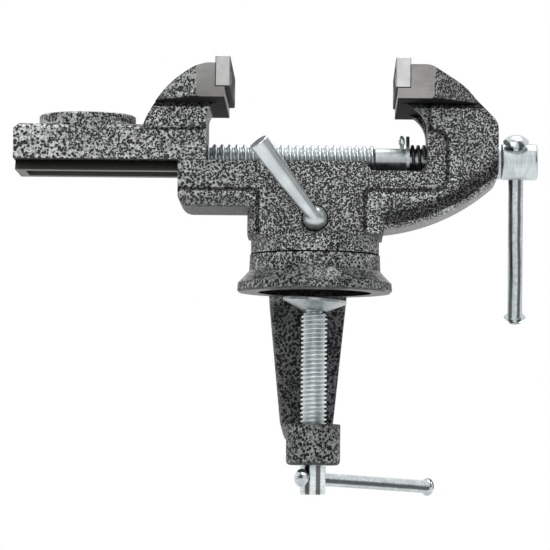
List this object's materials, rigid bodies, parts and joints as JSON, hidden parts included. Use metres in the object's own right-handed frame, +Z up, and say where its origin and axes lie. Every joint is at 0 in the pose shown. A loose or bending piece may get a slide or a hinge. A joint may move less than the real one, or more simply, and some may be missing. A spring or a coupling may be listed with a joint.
{
  "type": "clamp-on swivel bench vise",
  "caption": "Small bench vise on a swivel base with a table-edge clamp, dovetail slide, hard jaw plates, round anvil, sprung lead screw, lock lever and sliding T-bars.",
  "frame": {"origin": "centre of the base flange's underside, on the swivel axis, where the vise sits on the bench top", "axes": "+X from the moving jaw towards the fixed jaw, +Y to the back (towards the clamp arm), +Z up"},
  "size_m": [0.2094, 0.0912, 0.1718],
  "materials": {
    "hammer_paint": "silver and black hammertone paint on cast iron, machined flats bare",
    "zinc_steel": "bright zinc plate",
    "jaw_steel": "satin, ground",
    "dark_steel": "blackened, slightly oiled",
    "lever_alloy": "satin die-cast zinc alloy"
  },
  "bodies": {
    "base": {"base_casting": "hammer_paint"},
    "vise_body": {"body_casting": "hammer_paint", "fixed_jaw_plate": "jaw_steel", "fixed_jaw_screw_front": "dark_steel", "fixed_jaw_screw_back": "dark_steel"},
    "moving_jaw": {"moving_jaw_casting": "hammer_paint", "moving_jaw_plate": "jaw_steel", "moving_jaw_screw_front": "dark_steel", "moving_jaw_screw_back": "dark_steel"},
    "lead_screw": {"lead_screw": "zinc_steel", "thrust_collar": "zinc_steel", "spring_seat_washer": "zinc_steel", "lead_spring": "dark_steel", "split_pin": "zinc_steel"},
    "lead_handle": {"lead_handle_bar": "zinc_steel"},
    "lock_screw": {"lock_stud": "dark_steel", "lock_lever": "lever_alloy"},
    "clamp_pad": {"clamp_pad": "zinc_steel"},
    "clamp_screw": {"clamp_screw": "zinc_steel"},
    "clamp_handle": {"clamp_handle_bar": "zinc_steel"}
  },
  "joints": [
    {"name": "swivel", "type": "hinge", "parent": "base", "child": "vise_body", "pos_m": [0, 0, 0.0151], "axis": [0, 0, 1], "continuous": true},
    {"name": "lead_screw_turn", "type": "hinge", "parent": "vise_body", "child": "lead_screw", "pos_m": [0, 0, 0.0535], "axis": [-1, 0, 0], "range_deg": [0, 7800]},
    {"name": "jaw_slide", "type": "slide", "parent": "vise_body", "child": "moving_jaw", "axis": [1, 0, 0], "range_m": [0, 0.065]},
    {"name": "lead_handle_slide", "type": "slide", "parent": "lead_screw", "child": "lead_handle", "axis": [-0.0262, -0.559, 0.8288], "range_m": [0, 0.0636]},
    {"name": "lock_turn", "type": "hinge", "parent": "vise_body", "child": "lock_screw", "pos_m": [0, -0.0195, 0.0285], "axis": [0, -1, 0], "range_deg": [0, 75]},
    {"name": "clamp_travel", "type": "slide", "parent": "base", "child": "clamp_pad", "axis": [0, 0, -1], "range_m": [0, 0.042]},
    {"name": "clamp_turn", "type": "hinge", "parent": "clamp_pad", "child": "clamp_screw", "pos_m": [0, 0, -0.0057], "axis": [0, 0, -1], "range_deg": [0, 8640]},
    {"name": "clamp_handle_slide", "type": "slide", "parent": "clamp_screw", "child": "clamp_handle", "axis": [-0.6817, -0.731, 0.0314], "range_m": [0, 0.0623]}
  ],
  "couplings": [
    {"joint": "jaw_slide", "follows": "lead_screw_turn", "m_per_rad": 0.00047746},
    {"joint": "clamp_travel", "follows": "clamp_turn", "m_per_rad": 0.00027852}
  ]
}
